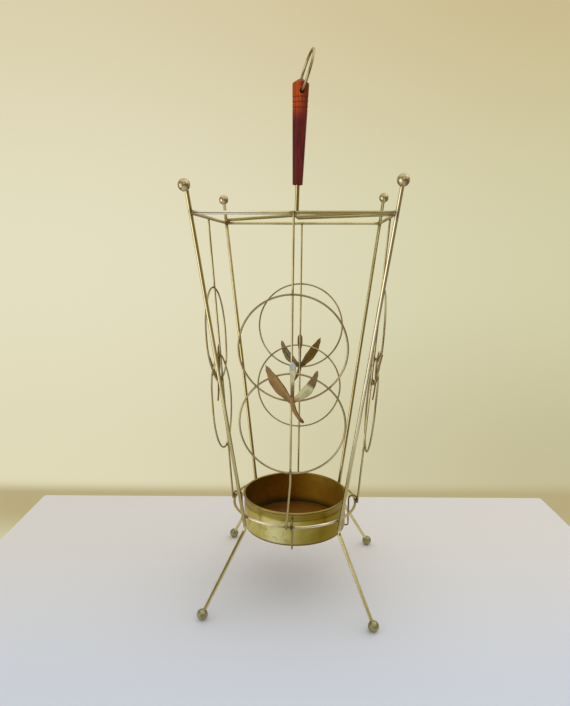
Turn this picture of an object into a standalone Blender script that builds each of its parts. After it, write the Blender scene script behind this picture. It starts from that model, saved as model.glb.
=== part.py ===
"""Wire umbrella stand: four bent corner rods with ball ends, a square top frame, ring and leaf
ornaments on each face, a hoop with a drip pan in a wire cradle, and a turned carrying handle.

Metres, +Z up. The origin is on the floor in the middle of the stand, and the front faces -Y.
"""

import math

import bmesh
import bpy
from mathutils import Matrix, Vector

# Rod and wire diameters.
POST_ROD = 0.0050
RAIL_ROD = 0.0044
HANDLE_ROD = 0.0060
DIVIDER_ROD = 0.0046
HOOP_ROD = 0.0038
CENTRE_WIRE = 0.0028
RING_WIRE = 0.0026
CRADLE_WIRE = 0.0024
CARRY_WIRE = 0.0036

# Clearance left at every joint between two pieces.
GAP = 0.0003

# Corner posts: half spacing of their centre lines at each height.
RAIL_Z = 0.5490
RAIL_HALF = 0.1242
BEND_Z = 0.1127
BEND_HALF = 0.0663
FOOT_HALF = 0.1175
FOOT_TWIST = math.radians(-1.25)
BEND_RADIUS = 0.014

# Balls on both ends of each post.
BALL_RADIUS = 0.0075
BALL_SEAT_RADIUS = 0.0030
FINIAL_Z = 0.5853
CORNERS = {
    "front_left": (-1, -1),
    "front_right": (1, -1),
    "back_right": (1, 1),
    "back_left": (-1, 1),
}
# The stand is bent and brazed by hand, so its posts differ a little: in how far each leans in
# towards +X at the rails, how high its finial ends up, and how far off its axis the finial sits.
POST_NUDGE = {"front_left": 0.0024, "front_right": 0.0006, "back_right": 0.0008, "back_left": 0.0008}
FINIAL_RISE = {"front_left": -0.0045, "front_right": 0.0, "back_right": 0.0040, "back_left": 0.0010}
FINIAL_SHIFT = {"front_left": -0.0022, "front_right": 0.0, "back_right": 0.0, "back_left": 0.0}

# Hoop around the pan.
HOOP_RADIUS = 0.0918
HOOP_Z = 0.1308

# Drip pan.
PAN_RADIUS = 0.0768
PAN_RIM_RADIUS = 0.0782
PAN_FLOOR_Z = 0.0940
PAN_HEIGHT = 0.0502
PAN_WALL = 0.0012
PAN_EDGE_RADIUS = 0.0025
PAN_BEAD = 0.0016
PAN_STEP_Z = 0.0385
PAN_STEP = 0.0004

# Cradle wires under the pan.
CRADLE_LEG = 0.0822
CRADLE_BEND = 0.0030
CRADLE_TAIL = 0.0025

# Ornament on each face, in a frame whose -Y points out of the face and +X to its right.
FACES = {"front": 0.0, "right": 90.0, "back": 180.0, "left": 270.0}
# Sideways places of the centre wire at the rail, above the hoop and on the hoop.
WIRE_PLACES = {
    "front": (0.0032, -0.0002, -0.0058),
    "right": (0.0, 0.0, 0.0),
    "back": (0.0, 0.0, 0.0),
    "left": (0.0, 0.0, 0.0),
}
# Sideways places of the upper ring, the lower ring and the leaf spray.
RING_PLACES = {
    "front": (0.0028, 0.0022, 0.0030),
    "right": (0.0, 0.0, 0.0014),
    "back": (0.0, 0.0016, 0.0004),
    "left": (0.0, 0.0, 0.0014),
}
ORNAMENT_RADIUS = 0.0686
UPPER_RING_Z = 0.3835
LOWER_RING_Z = 0.2830
SPRAY_Z = 0.3165
SPRAY_STEM = 0.0026

# Carrying handle: the rod's elbow stands a little above the rails, and its far end a little below.
HANDLE_LEAN = math.radians(1.35)
ELBOW = (-0.0012, 0.0, RAIL_Z + 0.0016)
ELBOW_RADIUS = 0.0062
CORNER_DROP = 0.0006
GRIP_BOTTOM_Z = 0.5947
GRIP_LENGTH = 0.1380
GRIP_SHOULDER = 0.1320
GRIP_HOLE = 0.1208
GRIP_GROOVES = (0.1002, 0.1070, 0.1136)
GRIP_BOTTOM_RADIUS = 0.0070
GRIP_TOP_RADIUS = 0.01135
GRIP_TIP_RADIUS = 0.0028
GRIP_EDGE = 0.0007
GROOVE_DEPTH = 0.0005
GROOVE_HALF = 0.0008
GRIP_SOCKET_DEPTH = 0.018
HOLE_RADIUS = 0.0034
HOLE_TURN = math.radians(15.0)
CARRY_RADIUS = 0.0290
CARRY_OFFSET = 0.0279
CARRY_LEAN = math.radians(15.6)

# Plain finishes: colour, roughness, metallic.
BRASS = ((0.62, 0.50, 0.26), 0.32, 1.0)
PAN_BRASS = ((0.52, 0.44, 0.17), 0.38, 1.0)
COPPER = ((0.42, 0.24, 0.15), 0.40, 1.0)
WOOD = ((0.16, 0.03, 0.03), 0.35, 0.0)


def clear_scene():
    for piece in list(bpy.data.objects):
        bpy.data.objects.remove(piece, do_unlink=True)


def paint(piece, finish):
    """Gives the piece a material of its own."""
    colour, roughness, metallic = finish
    material = bpy.data.materials.new(piece.name + "_finish")
    material.use_nodes = True
    shader = material.node_tree.nodes["Principled BSDF"]
    shader.inputs["Base Color"].default_value = (*colour, 1.0)
    shader.inputs["Roughness"].default_value = roughness
    shader.inputs["Metallic"].default_value = metallic
    piece.data.materials.append(material)


def add_piece(name, data, finish, parent=None):
    piece = bpy.data.objects.new(name, data)
    bpy.context.scene.collection.objects.link(piece)
    piece.parent = parent
    if finish:
        paint(piece, finish)
    return piece


def add_empty(name, location=(0, 0, 0), rotation=(0, 0, 0), parent=None):
    empty = bpy.data.objects.new(name, None)
    empty.empty_display_size = 0.02
    empty.location = location
    empty.rotation_euler = rotation
    empty.parent = parent
    bpy.context.scene.collection.objects.link(empty)
    return empty


def add_rod(name, points, diameter, finish=BRASS, closed=False, sides=8, parent=None):
    """A round rod along the points, with flat ends unless it closes on itself."""
    curve = bpy.data.curves.new(name, "CURVE")
    curve.dimensions = "3D"
    curve.bevel_depth = diameter / 2
    curve.bevel_resolution = (sides - 4) // 2
    curve.use_fill_caps = not closed
    line = curve.splines.new("POLY")
    line.points.add(len(points) - 1)
    for place, point in zip(line.points, points):
        place.co = (*point, 1.0)
    line.use_cyclic_u = closed
    line.use_smooth = True
    return add_piece(name, curve, finish, parent)


def circle_points(radius, count):
    """Points round a circle in the XY plane."""
    turns = [2 * math.pi * step / count for step in range(count)]
    return [Vector((radius * math.cos(turn), radius * math.sin(turn), 0)) for turn in turns]


def rounded(before, corner, after, radius, count=6):
    """Points on the arc that rounds the corner between two straight stretches."""
    into = (before - corner).normalized()
    out = (after - corner).normalized()
    half = into.angle(out) / 2
    centre = corner + (into + out).normalized() * radius / math.sin(half)
    start = corner + into * radius / math.tan(half) - centre
    end = corner + out * radius / math.tan(half) - centre
    turn = start.angle(end)
    axis = start.cross(end).normalized()
    return [centre + Matrix.Rotation(turn * step / count, 3, axis) @ start for step in range(count + 1)]


def arc(centre, radius, first, last, count):
    """Points in a vertical plane as (outward, height) pairs."""
    turns = [first + (last - first) * step / count for step in range(count + 1)]
    return [(centre[0] + radius * math.cos(turn), centre[1] + radius * math.sin(turn)) for turn in turns]


def add_turned(name, profile, steps, finish, parent=None):
    """A solid turned about Z from (radius, height) points that start and end on the axis."""
    mesh = bpy.data.meshes.new(name)
    bm = bmesh.new()
    rings = [bm.verts.new((radius, 0, height)) for radius, height in profile]
    for first, second in zip(rings, rings[1:]):
        bm.edges.new((first, second))
    bmesh.ops.spin(
        bm,
        geom=bm.verts[:] + bm.edges[:],
        axis=(0, 0, 1),
        cent=(0, 0, 0),
        angle=2 * math.pi,
        steps=steps,
        use_merge=True,
    )
    bmesh.ops.remove_doubles(bm, verts=bm.verts[:], dist=1e-6)
    bmesh.ops.recalc_face_normals(bm, faces=bm.faces[:])
    bm.to_mesh(mesh)
    bm.free()
    mesh.shade_smooth()
    mesh.set_sharp_from_angle(angle=math.radians(40))
    return add_piece(name, mesh, finish, parent)


def post_point(corner, height):
    """Where a corner post's centre line passes this height, above the bend."""
    side, depth = CORNERS[corner]
    bend = Vector((side * BEND_HALF, depth * BEND_HALF, BEND_Z))
    at_rail = Vector((side * RAIL_HALF + POST_NUDGE[corner], depth * RAIL_HALF, RAIL_Z))
    return bend.lerp(at_rail, (height - BEND_Z) / (RAIL_Z - BEND_Z))


def foot_point(corner):
    side, depth = CORNERS[corner]
    flat = Vector((side * FOOT_HALF, depth * FOOT_HALF, BALL_RADIUS))
    return Matrix.Rotation(FOOT_TWIST, 3, "Z") @ flat


def add_ball(name, centre, rod_direction):
    """A ball with a small flat seat where the rod's end meets it."""
    seat = math.asin(BALL_SEAT_RADIUS / BALL_RADIUS)
    count = 8
    turns = [seat + (math.pi - seat) * step / count for step in range(count + 1)]
    profile = [(0.0, BALL_RADIUS * math.cos(seat))]
    profile += [(BALL_RADIUS * math.sin(turn), BALL_RADIUS * math.cos(turn)) for turn in turns[:-1]]
    profile.append((0.0, -BALL_RADIUS))
    ball = add_turned(name, profile, 14, BRASS)
    ball.location = centre
    ball.rotation_euler = rod_direction.to_track_quat("Z", "Y").to_euler()
    return ball


def add_post(corner):
    """One bent rod, from its finial down to its foot, and the balls on its ends."""
    top = post_point(corner, FINIAL_Z + FINIAL_RISE[corner])
    bend = post_point(corner, BEND_Z)
    foot = foot_point(corner)
    reach = math.sqrt(BALL_RADIUS**2 - BALL_SEAT_RADIUS**2) + GAP
    down = (bend - top).normalized()
    out = (foot - bend).normalized()
    route = [top + down * reach]
    route += rounded(top, bend, foot, BEND_RADIUS)
    route.append(foot - out * reach)
    add_rod("post_" + corner, route, POST_ROD)
    add_ball("finial_" + corner, top + Vector((FINIAL_SHIFT[corner], 0, 0)), down)
    add_ball("foot_" + corner, foot, -out)


def rail_line(face):
    """The ends of a top rail's centre line, on the two posts beside the face."""
    corners = list(CORNERS)
    index = list(FACES).index(face)
    return post_point(corners[index], RAIL_Z), post_point(corners[(index + 1) % 4], RAIL_Z)


def add_top_frame():
    """Four rails, each from one post to the next."""
    for face in FACES:
        first, second = rail_line(face)
        trim = (second - first).normalized() * (POST_ROD / 2 + 2 * GAP)
        add_rod("top_rail_" + face, [first + trim, second - trim], RAIL_ROD)


def add_handle():
    """The grip's rod, which bends over to one corner, the bar that carries on to the opposite one,
    the turned grip, and the carry ring in its cross hole."""
    up = Matrix.Rotation(HANDLE_LEAN, 3, "Y") @ Vector((0, 0, 1))
    elbow = Vector(ELBOW)
    foot = elbow + up * (GRIP_BOTTOM_Z - elbow.z)
    corner_reach = RAIL_HALF - RAIL_ROD / 2 - HANDLE_ROD / 2 * math.sqrt(0.5) - 2 * GAP
    corner = Vector((corner_reach, -corner_reach, RAIL_Z - CORNER_DROP))
    route = [foot + up * (GRIP_SOCKET_DEPTH - GAP)]
    route += rounded(foot, elbow, corner, ELBOW_RADIUS)
    route.append(corner)
    add_rod("handle_rod", route, HANDLE_ROD)

    bar_height = RAIL_Z + (RAIL_ROD + DIVIDER_ROD) / 2 + GAP
    inward = Vector((1, -1, 0)).normalized()
    bar_start = post_point("back_left", bar_height) + inward * (POST_ROD / 2 + 4 * GAP)
    bar_end = Vector((elbow.x, elbow.y, bar_height)) - inward * (HANDLE_ROD / 2 + 2 * GAP)
    add_rod("divider_bar", [bar_start, bar_end], DIVIDER_ROD)

    grip_line = add_empty("grip_line", foot, (0, HANDLE_LEAN, 0))
    grip = add_grip(grip_line)
    cut = grip.modifiers.new("cross_hole", "BOOLEAN")
    cut.operation = "DIFFERENCE"
    cut.object = add_hole(grip_line)

    pivot = add_empty("carry_pivot", foot + up * GRIP_HOLE, (0, 0, HOLE_TURN))
    loop = [Vector((0, point.x, point.y + CARRY_OFFSET)) for point in circle_points(CARRY_RADIUS, 36)]
    ring = add_rod("carry_ring", loop, CARRY_WIRE, closed=True, parent=pivot)
    ring.rotation_euler = (0, CARRY_LEAN, 0)


def add_grip(parent):
    """Turned wooden grip: wider at the top, three fine grooves, a low cone on top, and a socket."""
    wall = [(GRIP_BOTTOM_RADIUS - GRIP_EDGE, 0.0), (GRIP_BOTTOM_RADIUS, GRIP_EDGE)]
    slope = (GRIP_TOP_RADIUS - GRIP_BOTTOM_RADIUS) / GRIP_SHOULDER
    for height in GRIP_GROOVES:
        radius = GRIP_BOTTOM_RADIUS + slope * height
        wall.append((radius, height - GROOVE_HALF))
        wall.append((radius - GROOVE_DEPTH, height))
        wall.append((radius, height + GROOVE_HALF))
    wall += [(GRIP_TOP_RADIUS, GRIP_SHOULDER), (GRIP_TIP_RADIUS, GRIP_LENGTH)]
    socket = HANDLE_ROD / 2 + 2 * GAP
    profile = [(0.0, GRIP_SOCKET_DEPTH), (socket, GRIP_SOCKET_DEPTH), (socket, 0.0)]
    profile += wall
    profile.append((0.0, GRIP_LENGTH))
    return add_turned("wood_grip", profile, 24, WOOD, parent)


def add_hole(parent):
    """The cutter for the grip's cross hole."""
    mesh = bpy.data.meshes.new("hole_cutter")
    bm = bmesh.new()
    bmesh.ops.create_cone(
        bm,
        cap_ends=True,
        segments=16,
        radius1=HOLE_RADIUS,
        radius2=HOLE_RADIUS,
        depth=4 * GRIP_TOP_RADIUS,
        matrix=Matrix.Rotation(math.pi / 2, 4, "X"),
    )
    bm.to_mesh(mesh)
    bm.free()
    cutter = add_piece("hole_cutter", mesh, None, parent)
    cutter.location = (0, 0, GRIP_HOLE)
    cutter.rotation_euler = (0, 0, HOLE_TURN)
    cutter.hide_render = True
    cutter.display_type = "WIRE"
    return cutter


def add_hoop():
    ring = [point + Vector((0, 0, HOOP_Z)) for point in circle_points(HOOP_RADIUS, 48)]
    add_rod("hoop", ring, HOOP_ROD, closed=True)


def add_pan():
    """Flat-bottomed pan with a rounded lower edge, a shallow step and a rolled rim."""
    edge = PAN_EDGE_RADIUS
    inner = PAN_RADIUS - PAN_STEP - PAN_WALL
    profile = [(0.0, 0.0)]
    profile += arc((PAN_RADIUS - edge, edge), edge, -math.pi / 2, 0, 3)
    profile += [(PAN_RADIUS, PAN_STEP_Z - 2 * PAN_STEP), (PAN_RADIUS - PAN_STEP, PAN_STEP_Z)]
    profile += arc((PAN_RIM_RADIUS - PAN_BEAD, PAN_HEIGHT - PAN_BEAD), PAN_BEAD, -math.pi / 3, math.pi, 6)
    profile += [(inner, PAN_HEIGHT - 2 * PAN_BEAD), (inner, edge + PAN_WALL)]
    profile += [(inner - edge, PAN_WALL), (0.0, PAN_WALL)]
    pan = add_turned("drip_pan", profile, 48, PAN_BRASS)
    pan.location = (0, 0, PAN_FLOOR_Z)


def add_cradle(name, height, turn, shift):
    """A wire that runs under the pan and hooks over the hoop at both ends."""
    tail = HOOP_RADIUS + (HOOP_ROD + CRADLE_WIRE) / 2 + GAP
    crest_radius = (tail - CRADLE_LEG) / 2
    crest = ((tail + CRADLE_LEG) / 2, HOOP_Z + 0.0012)
    side = arc((CRADLE_LEG - CRADLE_BEND, height + CRADLE_BEND), CRADLE_BEND, -math.pi / 2, 0, 4)
    side += arc(crest, crest_radius, math.pi, 0, 8)
    side.append((tail, HOOP_Z - CRADLE_TAIL))
    route = [Vector((shift, -out, up)) for out, up in reversed(side)]
    route += [Vector((shift, out, up)) for out, up in side]
    holder = add_empty(name + "_line", rotation=(0, 0, math.radians(turn)))
    add_rod(name, route, CRADLE_WIRE, sides=6, parent=holder)


def leaf_section(centre, along, outward, half_width, half_thickness):
    """Six points round a flat, sharp-edged section."""
    across = along.cross(outward).normalized()
    shape = ((1, 0), (0.5, 1), (-0.5, 1), (-1, 0), (-0.5, -1), (0.5, -1))
    return [centre + across * a * half_width + outward * b * half_thickness for a, b in shape]


def add_leaf(name, spine, widths, thickness, parent):
    """A closed blade along the spine, with one half width for each point of it."""
    mesh = bpy.data.meshes.new(name)
    bm = bmesh.new()
    loops = []
    for index, centre in enumerate(spine):
        before = spine[max(index - 1, 0)]
        after = spine[min(index + 1, len(spine) - 1)]
        along = (after - before).normalized()
        outward = (Vector((0, -1, 0)) + along * along.y).normalized()
        section = leaf_section(centre, along, outward, widths[index], thickness / 2)
        loops.append([bm.verts.new(point) for point in section])
    for lower, upper in zip(loops, loops[1:]):
        for index in range(6):
            follow = (index + 1) % 6
            bm.faces.new((lower[index], lower[follow], upper[follow], upper[index]))
    bm.faces.new(list(reversed(loops[0])))
    bm.faces.new(loops[-1])
    bmesh.ops.recalc_face_normals(bm, faces=bm.faces[:])
    bm.to_mesh(mesh)
    bm.free()
    return add_piece(name, mesh, None, parent)


def blade(start, end, bow, lift, half_width, count=6):
    """Spine and half widths of a leaf: bowed sideways, its tip lifting out of the face."""
    start = Vector(start)
    end = Vector(end)
    across = Vector((end.z - start.z, 0, start.x - end.x)).normalized()
    spine = []
    widths = []
    for step in range(count + 1):
        share = step / count
        sideways = across * bow * math.sin(math.pi * share)
        spine.append(start.lerp(end, share) + sideways + Vector((0, -lift * share**2, 0)))
        widths.append(0.0007 + half_width * math.sin(math.pi * min(1.0, 0.12 + 0.88 * share)) ** 0.8)
    return spine, widths


def add_spray(face, parent):
    """Three sheet-metal leaves on a short stem, made in one piece."""
    left = blade((-0.001, 0, -0.002), (-0.0335, 0, 0.0468), -0.0030, 0.0014, 0.0062)
    right = blade((0.001, 0.0003, -0.001), (0.0305, 0, 0.0405), 0.0055, 0.0012, 0.0056)
    middle = blade((0.0, 0.0001, -0.003), (0.0000, 0, 0.0525), 0.0, 0.0030, 0.0026)
    stem_spine = [
        Vector((-0.0012, 0.0002, 0.0045)),
        Vector((0.0012, 0.0002, -0.0065)),
        Vector((0.0058, 0.0002, -0.0175)),
        Vector((0.0134, 0.0002, -0.0290)),
    ]
    spray = add_leaf("leaf_spray_" + face, stem_spine, (0.0022, 0.0028, 0.0026, 0.0022), SPRAY_STEM, parent)
    paint(spray, COPPER)
    for label, (spine, widths), thickness in (
        ("left", left, 0.0014),
        ("right", right, 0.0016),
        ("middle", middle, 0.0018),
    ):
        leaf = add_leaf("cut_leaf_" + label + "_" + face, spine, widths, thickness, parent)
        leaf.hide_render = True
        leaf.display_type = "WIRE"
        join = spray.modifiers.new("join_" + label, "BOOLEAN")
        join.operation = "UNION"
        join.object = leaf


def crossing_angle():
    """How far from its top the lower ring crosses the upper one."""
    return math.acos((UPPER_RING_Z - LOWER_RING_Z) / 2 / ORNAMENT_RADIUS)


def ornament_ring(facing):
    """A ring in the XY plane with its top at +Y, bent out at its two crossings with the other."""
    points = []
    for point in circle_points(ORNAMENT_RADIUS, 36):
        from_top = abs(math.atan2(point.x, point.y * facing))
        near = max(0.0, 1 - abs(from_top - crossing_angle()) / 0.7)
        bend = (RING_WIRE + GAP) / 2 * math.sin(math.pi / 2 * near) ** 2
        points.append(point + Vector((0, 0, facing * bend)))
    return points


def add_face(face, degrees):
    """One face's centre wire, its two rings and its leaf spray."""
    holder = add_empty("face_" + face, rotation=(0, 0, math.radians(degrees)))
    first, second = rail_line(face)
    rail_reach = ((first + second) / 2).xy.length
    top = Vector((0, -rail_reach - (RAIL_ROD + CENTRE_WIRE) / 2 - GAP, RAIL_Z))
    foot = Vector((0, -HOOP_RADIUS - (HOOP_ROD + CENTRE_WIRE) / 2 - GAP, HOOP_Z))
    rise = (top - foot).normalized()
    out = Vector((0, -rise.z, rise.y))
    knee = foot.lerp(top, 0.16)
    route = [top + rise * 0.0014, knee, foot - rise * 0.0018]
    for place, sideways in zip(route, WIRE_PLACES[face]):
        place.x = sideways
    add_rod("centre_wire_" + face, route, CENTRE_WIRE, sides=6, parent=holder)

    def face_point(height, clear, sideways):
        place = foot.lerp(top, (height - foot.z) / (top.z - foot.z)) + out * clear
        place.x = sideways
        return place

    upper, lower, spray = RING_PLACES[face]
    clear = (CENTRE_WIRE + RING_WIRE) / 2 + GAP
    slope = math.atan2(-rise.y, rise.z)
    turn = (math.pi / 2 + slope, 0, 0)
    for label, height, place, facing in (
        ("upper", UPPER_RING_Z, upper, -1),
        ("lower", LOWER_RING_Z, lower, 1),
    ):
        plane = add_empty(label + "_plane_" + face, face_point(height, clear, place), turn, holder)
        add_rod(
            label + "_ring_" + face,
            ornament_ring(facing),
            RING_WIRE,
            sides=6,
            closed=True,
            parent=plane,
        )

    clear += RING_WIRE / 2 + SPRAY_STEM / 2 + 2 * GAP
    spray_plane = add_empty("spray_plane_" + face, face_point(SPRAY_Z, clear, spray), (slope, 0, 0), holder)
    add_spray(face, spray_plane)


def build():
    clear_scene()
    for corner in CORNERS:
        add_post(corner)
    add_top_frame()
    add_handle()
    add_hoop()
    add_pan()
    under_pan = PAN_FLOOR_Z - CRADLE_WIRE / 2 - GAP
    add_cradle("cradle_wire_upper", under_pan, -0.7, 0.0024)
    add_cradle("cradle_wire_lower", under_pan - CRADLE_WIRE - GAP, 90.0, 0.0045)
    for face, degrees in FACES.items():
        add_face(face, degrees)


build()
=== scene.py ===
"""Looks of the wire umbrella stand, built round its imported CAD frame.

Metres, +Z up, the front faces -Y. Every rod, wire, ball, leaf and the pan is a finer mesh in the place
of its CAD node. The dimensions below are the CAD model's own.
"""

from math import acos, asin, atan2, cos, pi, radians, sin, sqrt, tan

import bmesh
import bpy
import numpy as np
from mathutils import Matrix, Vector, noise


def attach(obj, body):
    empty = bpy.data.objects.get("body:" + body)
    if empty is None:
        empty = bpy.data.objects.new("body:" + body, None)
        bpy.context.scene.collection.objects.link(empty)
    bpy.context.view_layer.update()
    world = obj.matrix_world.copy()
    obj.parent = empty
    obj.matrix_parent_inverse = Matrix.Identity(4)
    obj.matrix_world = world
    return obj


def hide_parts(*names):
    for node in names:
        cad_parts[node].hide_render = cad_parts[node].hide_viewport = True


# Rod and wire radii.
POST_R = 0.0025
RAIL_R = 0.0022
HANDLE_R = 0.0030
DIVIDER_R = 0.0023
HOOP_R = 0.0019
CENTRE_R = 0.0014
RING_R = 0.0013
CRADLE_R = 0.0012
CARRY_R = 0.0018
GAP = 0.0003

# Corner posts.
RAIL_Z = 0.5490
RAIL_HALF = 0.1242
BEND_Z = 0.1127
BEND_HALF = 0.0663
FOOT_HALF = 0.1175
FOOT_TWIST = radians(-1.25)
BEND_RADIUS = 0.014
BALL_RADIUS = 0.0075
ROD_END = 0.0060  # from a ball's middle to the rod's end in it
BALL_WELD = 0.0072  # from a ball's middle to its collar
FINIAL_Z = 0.5853
CORNERS = {  # side, depth, sideways nudge at the rail, rise and shift of the finial
    "front_left": (-1, -1, 0.0024, -0.0045, -0.0022),
    "front_right": (1, -1, 0.0006, 0.0, 0.0),
    "back_right": (1, 1, 0.0008, 0.0040, 0.0),
    "back_left": (-1, 1, 0.0008, 0.0010, 0.0),
}

# Where the rods and wires are darker, beside the pan.
DARK_TOP = 0.34
DARK_FADE = 0.14
DARK_BOTTOM = BEND_Z + 0.004

# Hoop, pan and cradle.
HOOP_RADIUS = 0.0918
HOOP_Z = 0.1308
PAN_RADIUS = 0.0768
PAN_RIM_RADIUS = 0.0782
PAN_FLOOR_Z = 0.0940
PAN_HEIGHT = 0.0502
PAN_WALL = 0.0012
PAN_EDGE = 0.0025
PAN_BEAD = 0.0016
PAN_STEP_Z = 0.0385
PAN_STEP = 0.0004
CRADLE_LEG = 0.0822
CRADLE_BEND = 0.0030
CRADLE_TAIL = 0.0025

# Ornament on each face, in a frame whose -Y points out of the face and +X to its right.
FACES = {  # turn; the wire's place at its top, knee and foot; the upper ring's, lower ring's and spray's
    "front": (0.0, (0.0032, -0.0002, -0.0058), (0.0028, 0.0022, 0.0030)),
    "right": (90.0, (0.0, 0.0, 0.0), (0.0, 0.0, 0.0014)),
    "back": (180.0, (0.0, 0.0, 0.0), (0.0, 0.0016, 0.0004)),
    "left": (270.0, (0.0, 0.0, 0.0), (0.0, 0.0, 0.0014)),
}
ORNAMENT_RADIUS = 0.0686
UPPER_RING_Z = 0.3835
LOWER_RING_Z = 0.2830
SPRAY_Z = 0.3165
SPRAY_STEM = 0.0026

# Handle.
HANDLE_LEAN = radians(1.35)
ELBOW = Vector((-0.0012, 0.0, RAIL_Z + 0.0016))
ELBOW_RADIUS = 0.0062
CORNER_DROP = 0.0006
GRIP_BOTTOM_Z = 0.5947
GRIP_LENGTH = 0.1380
GRIP_SHOULDER = 0.1320
GRIP_HOLE = 0.1208
HOLE_RADIUS = 0.0033
GRIP_GROOVES = (0.1002, 0.1070, 0.1136)
GROOVE_HALF = 0.0010
GROOVE_DEPTH = 0.00062
GRIP_BOTTOM_RADIUS = 0.0070
GRIP_TOP_RADIUS = 0.01135
GRIP_TIP_RADIUS = 0.0028
GRIP_SOCKET = 0.018
HOLE_TURN = radians(15.0)
CARRY_RADIUS = 0.0290
CARRY_OFFSET = 0.0279
CARRY_LEAN = radians(15.6)

# Camera: where it stands and how it is turned, with its lens for a 36 mm sensor on the long side.
CAMERA_PLACE = Vector((0.04825, -0.81943, 0.50186))
CAMERA_YAW = 0.07853
CAMERA_PITCH = -0.1741
CAMERA_ROLL = 0.00612
CAMERA_LENS = 29.06

# Table under the stand, and the way up from its far edge as seen along the wall behind.
FLOOR_SIZE = (1.045, 1.60, 0.03)
FLOOR_PLACE = (0.0402, -0.4917)
FLOOR_TURN = radians(4.5)
WALL_FOOT = (-0.0320, 0.4072, 0.9128)

# Colours of the leaves: patina tints, two painted reflections (the cream and the silver) and a brown darkened
# as painted shade for their inner sides.
BROWN = Vector((0.45, 0.265, 0.090))
# Painted shade: a darker copy of the brown, for the leaves' inner sides.
SHADED_BROWN = Vector((0.30, 0.175, 0.060))
COPPER = Vector((0.46, 0.265, 0.125))
MAROON = Vector((0.24, 0.120, 0.062))
RUSSET = Vector((0.30, 0.185, 0.080))
# Painted reflections: the pale cream and the bluish silver.
PAINTED_CREAM_REFLECTION = Vector((0.86, 0.78, 0.40))
PAINTED_SILVER_REFLECTION = Vector((0.62, 0.66, 0.56))
GREY = Vector((0.33, 0.26, 0.135))
GOLD = Vector((0.31, 0.190, 0.045))

# The spray's four blades in the face's frame. Outline, twist (degrees) and tints run from root to tip.
LEAVES = (
    {
        "root": (-0.0010, 0.0003, -0.0020), "tip": (-0.0338, 0.0, 0.0470),
        "bow": -0.0026, "lift": 0.0014, "curl": 0.004, "crease": 0.16, "thickness": 0.0009,
        "outline": ((0, 0.0032), (0.12, 0.0045), (0.40, 0.0072), (0.62, 0.0070), (0.88, 0.0036), (1, 0.0006)),
        "twist": ((0, 0.0), (1, -12.0)),
        "outer": ((0, COPPER), (0.2, BROWN), (0.75, BROWN), (1, GREY)),
        "inner": ((0, SHADED_BROWN), (0.5, GOLD), (1, GOLD)),
    },
    {
        "root": (0.0010, 0.0004, -0.0010), "tip": (0.0312, 0.0, 0.0410),
        "bow": 0.0050, "lift": 0.0010, "curl": 0.008, "crease": 0.18, "thickness": 0.0009,
        "outline": ((0, 0.0027), (0.12, 0.0045), (0.42, 0.0067), (0.62, 0.0055), (0.9, 0.0032), (1, 0.0012)),
        "twist": ((0, -4.0), (0.6, 4.0), (0.74, 14.0), (1, 18.0)),
        "outer": ((0, BROWN), (0.24, PAINTED_CREAM_REFLECTION), (0.52, PAINTED_CREAM_REFLECTION), (0.62, RUSSET), (0.86, RUSSET), (1, GREY)),
        "inner": ((0, SHADED_BROWN), (0.4, GREY), (0.8, GREY), (1, BROWN)),
    },
    {
        "root": (0.0, 0.0002, -0.0010), "tip": (0.0004, 0.0, 0.0528),
        "bow": 0.0, "lift": 0.0010, "curl": 0.016, "crease": 0.10, "thickness": 0.0010,
        "outline": ((0, 0.0021), (0.15, 0.0019), (0.50, 0.0022), (0.74, 0.0042), (0.90, 0.0040), (1, 0.0014)),
        "twist": ((0, 0.0), (1, 0.0)),
        "outer": (
            (0, COPPER), (0.14, MAROON), (0.34, BROWN), (0.54, PAINTED_CREAM_REFLECTION), (0.70, PAINTED_CREAM_REFLECTION), (0.88, PAINTED_SILVER_REFLECTION),
            (1, PAINTED_SILVER_REFLECTION),
        ),
        "inner": ((0, SHADED_BROWN), (1, SHADED_BROWN)),
    },
    {
        "root": (-0.0012, -0.0001, 0.0050), "tip": (0.0138, 0.0, -0.0296),
        "bow": 0.0036, "lift": 0.0002, "curl": 0.0, "crease": 0.06, "thickness": 0.0018,
        "outline": ((0, 0.0022), (0.3, 0.0031), (0.6, 0.0027), (0.93, 0.0024), (0.98, 0.0018), (1, 0.0010)),
        "twist": ((0, 0.0), (1, 0.0)),
        "outer": ((0, COPPER), (0.35, BROWN), (0.75, COPPER), (1, MAROON)),
        "inner": ((0, SHADED_BROWN), (1, SHADED_BROWN)),
    },
)

UP = Vector((0, 0, 1))
PIECES = []
WELDS = []  # every brazed place, which darkens the metal round it
BEADS = {}  # braze beads by group: centre, three axes and three radii
WIRE_MAP = "wire"  # UV map of a tube: metres along it, metres round it


# Shader helpers


def new_material(name):
    material = bpy.data.materials.new(name)
    material.use_nodes = True
    return material, material.node_tree


def put(socket, value):
    """Links a node's output to the socket, or sets its value."""
    if isinstance(value, bpy.types.NodeSocket):
        socket.id_data.links.new(value, socket)
    elif isinstance(value, tuple) and len(value) == 3 and socket.type == "RGBA":
        socket.default_value = (*value, 1.0)
    else:
        socket.default_value = value


def tree_of(*values):
    """The node tree of the first value that is a node's output."""
    return next(value.id_data for value in values if isinstance(value, bpy.types.NodeSocket))


def finish_look(material, colour, rough, metal, normal, **others):
    """Sets the shader's colour, roughness, share of metal, normal and any other named input."""
    inputs = material.node_tree.nodes["Principled BSDF"].inputs
    others.update({"Base Color": colour, "Roughness": rough, "Metallic": metal, "Normal": normal})
    for name, value in others.items():
        put(inputs[name], value)
    return material


def add_node(tree, kind, **inputs):
    made = tree.nodes.new("ShaderNode" + kind)
    for name, value in inputs.items():
        put(made.inputs[name.replace("_", " ")], value)
    return made


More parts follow.
